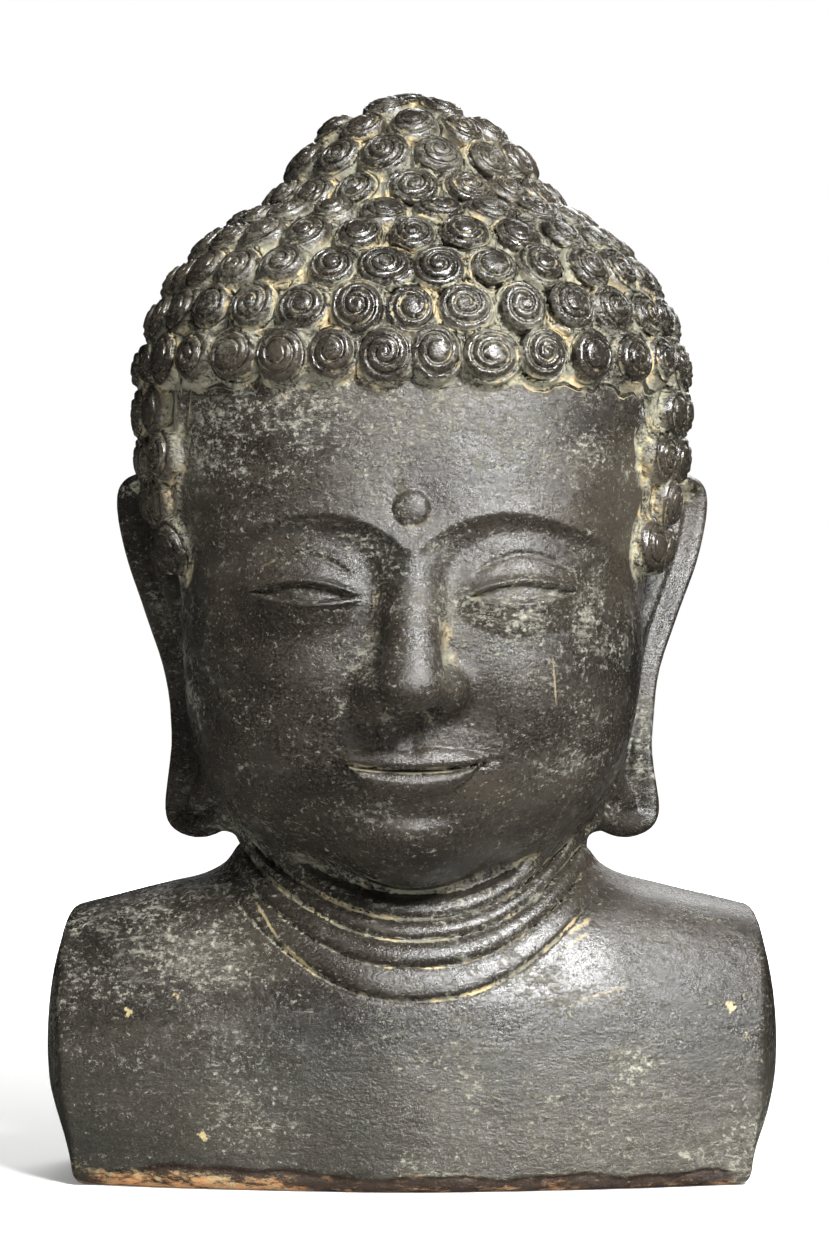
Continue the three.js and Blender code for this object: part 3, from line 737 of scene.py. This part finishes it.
class Shades:
    """Short names for the nodes that one material is built from."""

    def __init__(self, name):
        self.material = bpy.data.materials.new(name)
        self.material.use_nodes = True
        self.tree = self.material.node_tree
        self.tree.nodes.clear()
        self.where = self.node("TexCoord").outputs["Object"]
        self.x, self.y, self.z = self.node("SeparateXYZ", {0: self.where}).outputs

    def node(self, kind, inputs=None, **settings):
        """A shader node. Each input is a value or another node's output."""
        made = self.tree.nodes.new("ShaderNode" + kind)
        for name, value in settings.items():
            setattr(made, name, value)
        for name, value in (inputs or {}).items():
            if isinstance(value, bpy.types.NodeSocket):
                self.tree.links.new(value, made.inputs[name])
            else:
                made.inputs[name].default_value = value
        return made

    def math(self, operation, *values):
        return self.node("Math", dict(enumerate(values)), operation=operation).outputs[0]

    def plus(self, a, b):
        return self.math("ADD", a, b)

    def times(self, a, b):
        return self.math("MULTIPLY", a, b)

    def ramp(self, value, low, high):
        """Runs smoothly from 0 at low to 1 at high. Low may be the larger."""
        inputs = {"Value": value, "From Min": min(low, high), "From Max": max(low, high)}
        inputs |= {"To Min": float(low > high), "To Max": float(low < high)}
        return self.node("MapRange", inputs, interpolation_type="SMOOTHSTEP").outputs["Result"]

    def grain(self, scale, detail=4.0, rough=0.55, stretch=(1, 1, 1), turn=0.0):
        """Random shades about 1 / scale metres across, drawn out where the stretch is below 1. The turn is
        seen from the front, in radians."""
        mapping = {"Vector": self.where, "Scale": stretch, "Rotation": (0, turn, 0)}
        placed = self.node("Mapping", mapping).outputs["Vector"]
        inputs = {"Vector": placed, "Scale": scale, "Detail": detail, "Roughness": rough}
        return self.node("TexNoise", inputs).outputs["Fac"]

    def attribute(self, name):
        return self.node("Attribute", attribute_name=name).outputs["Fac"]

    def colour(self, a, b, share):
        return self.node("Mix", {6: a, 7: b, 0: share}, data_type="RGBA").outputs[2]

    def finish(self, colour, rough, height):
        """Joins it up. The height is in millimetres."""
        bump = self.node("Bump", {"Height": height, "Strength": 1.0, "Distance": 0.001}).outputs["Normal"]
        shader = self.node("BsdfPrincipled", {"Base Color": colour, "Roughness": rough, "Normal": bump})
        shader.inputs["Specular IOR Level"].default_value = 0.7
        self.node("OutputMaterial", {"Surface": shader.outputs[0]})
        return self.material


def spiral_share(s):
    """The groove that winds out over each curl, 1 in its middle, then how much a point is on a curl, and
    how much in the valley round one."""
    across, along = s.attribute("curl_across"), s.attribute("curl_along")
    pitch, bulb = s.attribute("curl_pitch"), s.attribute("curl_bulb")
    out = s.math("SQRT", s.plus(s.times(across, across), s.times(along, along)))
    angle = s.math("ARCTAN2", along, across)
    from_bulb = s.math("SUBTRACT", out, bulb)
    turn = s.math("SUBTRACT", s.math("DIVIDE", from_bulb, pitch), s.times(angle, 1 / (2 * math.pi)))
    groove = s.ramp(s.math("PINGPONG", turn, 0.5), 0.24, 0.04)
    on_curl = s.ramp(out, 1.02, 0.88)
    valley = s.times(s.ramp(out, 0.87, 1.0), s.ramp(out, 1.4, 1.2))
    return s.times(groove, s.times(s.ramp(from_bulb, -0.08, 0.05), on_curl)), on_curl, valley


def chip_share(s):
    """Small pale chips, a few sharp-edged spots on the front of the chest."""
    total = None
    ragged = s.times(s.plus(s.grain(420, 4, 0.75), -0.5), 0.01)
    flat = s.node("CombineXYZ", {0: s.x, 1: s.z}).outputs[0]
    for (across, up), size in CHIPS:
        middle = (across / 1000, up / 1000, 0)
        away = s.node("VectorMath", {0: flat, 1: middle}, operation="DISTANCE").outputs["Value"]
        spot = s.ramp(s.plus(away, ragged), size / 1000, 0.5 * size / 1000)
        total = s.plus(total, spot) if total else spot
    return s.times(s.math("MINIMUM", total, 1.0), s.ramp(s.y, 0, -0.02))


def streak_share(s):
    """Streaks of deposit on the front, ragged at their edges."""
    total = None
    ragged = s.times(s.plus(s.grain(260, 6, 0.85), -0.5), 0.011)
    for (x0, z0), (x1, z1), width, strength in STREAKS:
        length = math.hypot(x1 - x0, z1 - z0)
        cos, sin = (x1 - x0) / length, (z1 - z0) / length
        out, up = s.plus(s.x, -(x0 + x1) / 2000), s.plus(s.z, -(z0 + z1) / 2000)
        along = s.math("ABSOLUTE", s.plus(s.times(out, cos), s.times(up, sin)))
        across = s.math("ABSOLUTE", s.plus(s.times(out, -sin), s.times(up, cos)))
        thick = s.ramp(s.plus(across, s.times(ragged, min(1, width / 2))), width / 1000, 0.4 * width / 1000)
        spot = s.times(thick, s.times(s.ramp(along, length / 2000, 0.25 * length / 1000), strength))
        total = s.plus(total, spot) if total else spot
    return s.times(s.math("MINIMUM", total, 1.0), s.ramp(s.y, 0, -0.02))


def worn_share(s):
    """The worn strip under the ledge, then the bare clay on it and at the left corner."""
    hump = s.times(s.plus(s.x, -LEDGE.place / 1000), 1000 / LEDGE.width)
    hump = s.math("EXPONENT", s.times(s.times(hump, hump), -1.0))
    ledge = s.plus(s.times(hump, LEDGE.hump / 1000), LEDGE.level / 1000)
    for height, length, start in LEDGE.waves:
        wave = s.math("SINE", s.plus(s.times(s.x, 1000 / length), start))
        ledge = s.plus(ledge, s.times(wave, height / 1000))
    front = s.ramp(s.y, 0, -0.02)
    below = s.math("SUBTRACT", ledge, s.z)
    reach = s.ramp(s.math("ABSOLUTE", s.x), 0.146, 0.138)
    strip = s.times(s.times(s.ramp(below, -0.0004, 0.0004), reach), front)
    flaky = s.grain(150, 8, 0.84, (0.4, 1, 1.3))
    rim = s.times(s.ramp(s.math("ABSOLUTE", below), 0.0022, 0.0004), s.ramp(flaky, 0.56, 0.66))
    left = s.times(s.ramp(s.x, -0.144, -0.13), s.ramp(s.x, -0.035, -0.06))
    left = s.times(left, s.ramp(s.z, 0.009, 0.0045))
    low = s.ramp(s.z, 0.0045, 0.0015)
    amount = s.plus(s.plus(flaky, s.times(left, 0.13)), s.times(low, 0.06))
    corner = s.times(s.ramp(s.plus(s.x, s.z), -0.128, -0.142), s.ramp(flaky, 0.5, 0.66))
    clay = s.math("MAXIMUM", s.times(s.ramp(amount, 0.56, 0.68), strip), s.times(s.times(rim, front), 0.7))
    return strip, s.math("MAXIMUM", clay, s.times(s.times(corner, front), s.ramp(s.z, 0.022, 0.01)))


def dust_and_sheen_share(s, hollow, open_air, on_curl, grit):
    """Grey dust in clusters, most on the chest and above the face, with less on the curls. Low on the bust
    a thin grey film is added as painted sheen.
    """
    above_face = s.ramp(s.z, (HAIRLINE - 60) / 1000, (HAIRLINE - 30) / 1000)
    on_chest = s.ramp(s.z, SHOULDER_TOP / 1000, (SHOULDER_TOP - 40) / 1000)
    low = s.ramp(s.z, 0.085, 0.045)
    settled = s.plus(s.plus(s.times(hollow, 0.1), s.times(s.plus(above_face, on_chest), 0.07)), -0.02)
    settled = s.plus(settled, s.times(low, -0.06))
    clusters = s.ramp(s.plus(s.grain(13, 10, 0.74, (0.7, 0.7, 1)), settled), 0.4, 0.74)
    wisps = s.grain(280, 8, 0.86, (0.35, 0.5, 1), 0.25)
    flecks = s.ramp(s.plus(wisps, s.times(clusters, 0.16)), 0.6, 0.74)
    specks = s.ramp(s.plus(grit, s.times(clusters, 0.14)), 0.6, 0.7)
    film_and_painted_sheen = s.times(clusters, s.ramp(s.grain(120, 8, 0.8, BRUSHED), 0.36, 0.7))
    # Low on the bust the film is painted sheen: grey that stands in for the light's sheen on the lower
    # chest
    film_and_painted_sheen = s.plus(film_and_painted_sheen, s.times(low, 0.6))
    loose = s.times(open_air, s.plus(1.0, s.times(on_curl, -0.75)))
    spread = s.plus(s.plus(s.times(flecks, 0.7), s.times(specks, 0.8)), s.times(film_and_painted_sheen, 0.1))
    return s.times(s.math("MINIMUM", spread, 1.0), loose)


def deposit_share(s, fine, open_air, groove, valley):
    """Crust in the creases, lining in the grooves of the curls, and filling in the valleys between them."""
    broken = s.plus(s.times(s.grain(170, 6, 0.8), 0.6), s.times(fine, 0.4))
    ragged = s.plus(s.times(broken, 2.2), -0.6)
    crust = s.times(s.ramp(s.plus(s.attribute("crevice"), ragged), 0.84, 1.08), open_air)
    under_hair = s.ramp(s.z, (HAIRLINE - 5) / 1000, (HAIRLINE - 25) / 1000)
    beside_face = s.times(under_hair, s.ramp(s.z, 0.16, 0.2))
    gathered = s.times(s.ramp(s.grain(30, 3), 0.36, 0.58), s.plus(1.0, s.times(beside_face, -0.6)))
    lining = s.times(groove, s.ramp(s.grain(190, 4, 0.7), 0.5, 0.62))
    filled = s.times(valley, s.ramp(s.plus(ragged, s.times(gathered, 0.24)), 0.42, 0.66))
    deposit = s.plus(s.times(crust, s.plus(s.times(gathered, 0.9), 0.1)), s.times(lining, 0.35))
    return s.math("MINIMUM", s.plus(deposit, s.times(filled, 0.9)), 1.0)


def surface_height(s, fine, grit, on_curl):
    """Brush strokes, grain and pits, smoother on the curls and on the rolls of the neck."""
    broad = s.times(s.grain(45, 4, 0.6, (0.6, 0.6, 1)), 1.1)
    strokes = s.plus(s.times(s.grain(140, 6, 0.7, BRUSHED), 0.9), broad)
    skin = s.plus(s.plus(s.times(fine, 0.42), s.times(grit, 0.2)), strokes)
    on_neck = s.times(s.ramp(s.z, 0.165, 0.15), s.ramp(s.z, 0.075, 0.09))
    on_neck = s.times(on_neck, s.ramp(s.math("ABSOLUTE", s.x), 0.095, 0.08))
    skin = s.times(skin, s.plus(s.plus(1.0, s.times(on_curl, -0.6)), s.times(on_neck, -0.4)))
    return s.plus(skin, s.times(s.ramp(s.grain(300, 2, 0.5), 0.3, 0.22), -0.25))


def dark_stone():
    """Dark brown stone under dust, deposit, chips, streaks and bare clay, each laid over the one before.
    The dust layer also holds a grey painted sheen low on the bust.
    """
    s = Shades("dark_stone")
    hollow = s.attribute("hollow")
    groove, on_curl, valley = spiral_share(s)
    fine = s.grain(900, 3, 0.7, (0.8, 0.8, 1))
    grit = s.grain(480, 5, 0.8, (0.8, 0.8, 1))
    open_air = s.ramp(hollow, 0.85, 0.6)

    patchy = s.plus(s.grain(19, 6, 0.6, BRUSHED), s.times(s.plus(fine, -0.5), 0.9))
    tone = s.colour(DARK_BROWN, WARM_BROWN, s.ramp(patchy, 0.32, 0.7))
    # The dust share also carries the grey painted sheen low on the bust
    dust_and_sheen = dust_and_sheen_share(s, hollow, open_air, on_curl, grit)
    dusty_and_sheened = s.colour(tone, DUST_AND_SHEEN, dust_and_sheen)

    deposit = deposit_share(s, fine, open_air, groove, valley)
    blotches = s.plus(s.times(s.grain(60, 3, 0.6), 0.5), s.times(s.grain(260, 5, 0.8), 0.5))
    crusty = s.colour(dusty_and_sheened, s.colour(GREY_GREEN, CREAM, s.ramp(blotches, 0.49, 0.6)), deposit)

    strip, clay = worn_share(s)
    worn = s.colour(crusty, s.colour(WORN_DARK, WORN_BROWN, s.grain(60, 5, 0.7)), strip)
    pale = s.math("MAXIMUM", chip_share(s), s.times(streak_share(s), 0.9))
    chipped = s.colour(worn, PALE_CHIP, pale)
    tan = s.ramp(s.plus(s.grain(170, 5, 0.8), s.times(s.ramp(s.z, 0.002, 0.012), 0.22)), 0.52, 0.64)
    finished = s.colour(chipped, s.colour(ORANGE_CLAY, TAN_CLAY, tan), clay)

    chalky = s.math("MAXIMUM", s.math("MAXIMUM", s.times(dust_and_sheen, 0.7), deposit), clay)
    slip = s.plus(s.times(s.ramp(s.grain(60, 6, 0.65), 0.3, 0.75), 0.14), s.times(on_curl, -0.07))
    rough = s.plus(s.plus(slip, 0.19), s.times(chalky, 0.5))

    skin = surface_height(s, fine, grit, on_curl)
    height = s.plus(s.plus(skin, s.times(s.plus(dust_and_sheen, deposit), 0.2)), s.times(groove, -0.8))
    return s.finish(finished, rough, height)


# Stage, light and camera

def floor_material():
    """Pale, with a glow that grows away from the middle, so that it runs into the white all round."""
    s = Shades("pale_floor")
    away = s.node("VectorMath", {0: s.where}, operation="LENGTH").outputs["Value"]
    glow = s.plus(s.times(s.ramp(away, 0.5, 1.8), 0.75), 0.25)
    shader = s.node("BsdfPrincipled", {"Emission Strength": glow})
    shader.inputs["Base Color"].default_value = FLOOR_TONE
    shader.inputs["Emission Color"].default_value = WHITE
    shader.inputs["Roughness"].default_value = 0.7
    s.node("OutputMaterial", {"Surface": shader.outputs[0]})
    return s.material


def stage():
    """A wide pale floor. It isn't mirrored in the stone, which would turn grey."""
    mesh = bpy.data.meshes.new("floor")
    corners = [(x * FLOOR_REACH, y * FLOOR_REACH, 0) for x, y in [(-1, -1), (1, -1), (1, 1), (-1, 1)]]
    mesh.from_pydata(corners, [], [(0, 1, 2, 3)])
    mesh.materials.append(floor_material())
    floor = bpy.data.objects.new("floor", mesh)
    floor.visible_glossy = False
    bpy.context.scene.collection.objects.link(floor)


def lamp(name, place, target, size, power, mirrored=True):
    """A soft lamp aimed at a target. It can be left out of the stone's reflections."""
    light = bpy.data.lights.new(name, "AREA")
    light.shape = "RECTANGLE"
    light.size, light.size_y = size
    light.energy = power
    holder = bpy.data.objects.new(name, light)
    holder.location = place
    holder.rotation_euler = (Vector(target) - Vector(place)).to_track_quat("-Z", "Y").to_euler()
    holder.visible_glossy = mirrored
    bpy.context.scene.collection.objects.link(holder)


def white_surroundings():
    """White where they are seen, and almost no light on the stone."""
    world = bpy.data.worlds.new("world")
    world.use_nodes = True
    nodes, links = world.node_tree.nodes, world.node_tree.links
    seen = nodes.new("ShaderNodeLightPath").outputs["Is Camera Ray"]
    white = nodes.new("ShaderNodeMapRange")
    white.inputs["To Min"].default_value = ROUND_LIGHT
    links.new(seen, white.inputs["Value"])
    nodes["Background"].inputs["Color"].default_value = WHITE
    links.new(white.outputs["Result"], nodes["Background"].inputs["Strength"])
    return world


def light_scene():
    lamp("key", (0.85, -1.6, 1.6), (0, 0, 0.24), (0.6, 0.8), 150)
    lamp("front", (-0.1, -2.3, 0.6), (0, 0, 0.2), (0.3, 0.5), 1)
    lamp("top", (0.2, -0.5, 2.1), (0, 0, 0.2), (1.2, 0.8), 6)
    lamp("back", (0.5, 1.8, 1.2), (0, 0, 0.24), (1.4, 0.8), 15)
    lamp("behind", (0.3, 2.1, 0.5), (0, 0, 0.24), (1.2, 0.8), 90, mirrored=False)
    bpy.context.scene.world = white_surroundings()
    bpy.context.scene.view_settings.view_transform = "Standard"


def make_camera():
    camera = bpy.data.cameras.new("camera")
    camera.lens = CAMERA_LENS
    camera.sensor_width = CAMERA_SENSOR
    holder = bpy.data.objects.new("camera", camera)
    holder.location = CAMERA_PLACE
    holder.rotation_euler = (math.radians(90), 0, 0)
    bpy.context.scene.collection.objects.link(holder)
    bpy.context.scene.camera = holder


make_camera()
light_scene()
stage()
curls = make_curls()
carved = carve()
carved.data.materials.append(dark_stone())
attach(carved, "root")
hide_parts("buddha_head")
